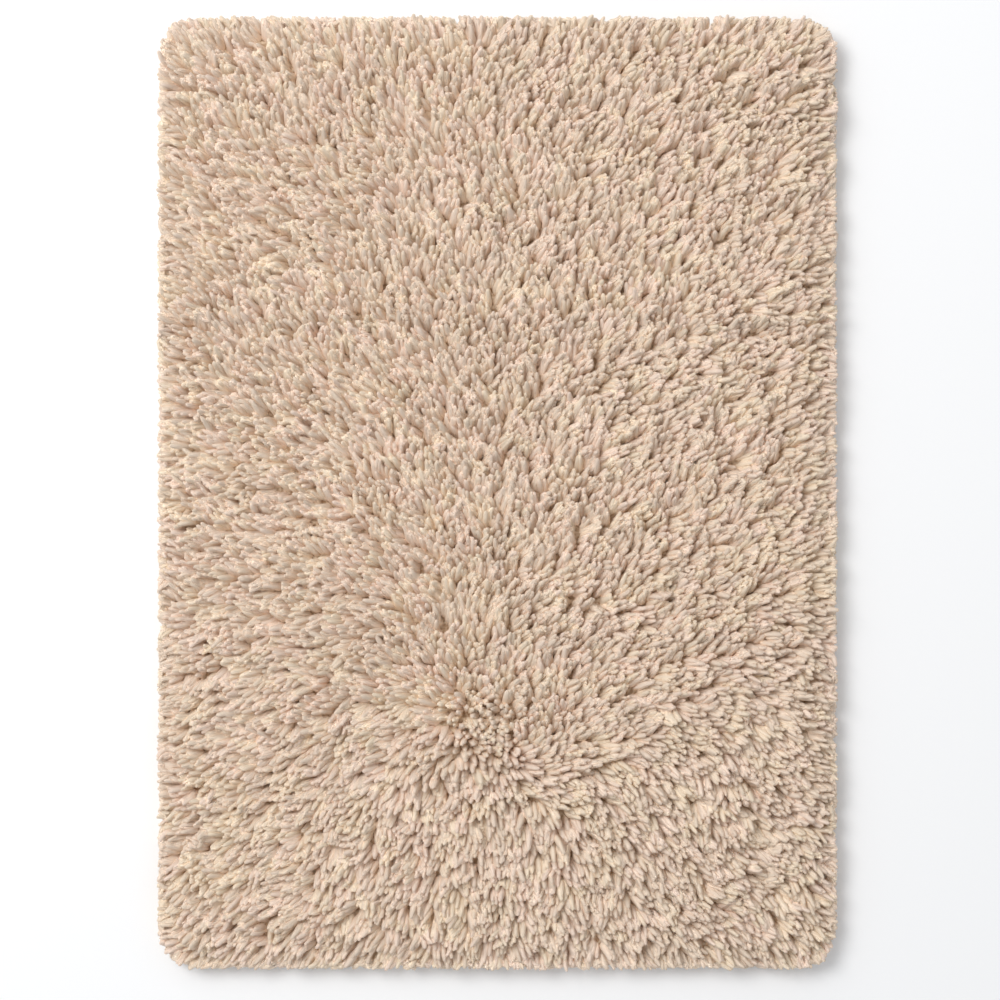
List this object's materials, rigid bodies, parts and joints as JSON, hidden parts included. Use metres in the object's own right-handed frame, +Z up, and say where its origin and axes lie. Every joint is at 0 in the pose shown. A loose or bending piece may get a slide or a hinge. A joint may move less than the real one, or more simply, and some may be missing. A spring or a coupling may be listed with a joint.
{
  "type": "shag rug",
  "caption": "Rectangular shag rug with round corners: a flat backing under a deep lumpy pile whose locks fall over the rim and lie on the floor.",
  "frame": {"origin": "on the floor under the middle of the rug", "axes": "+Y along the rug's length, +X along its width, +Z up out of the pile"},
  "size_m": [0.714, 1, 0.0377],
  "materials": {
    "shag_yarn": "matt cut pile",
    "backing_cloth": "matt woven cloth"
  },
  "bodies": {
    "root": {"pile": "shag_yarn", "backing": "backing_cloth"}
  },
  "joints": []
}
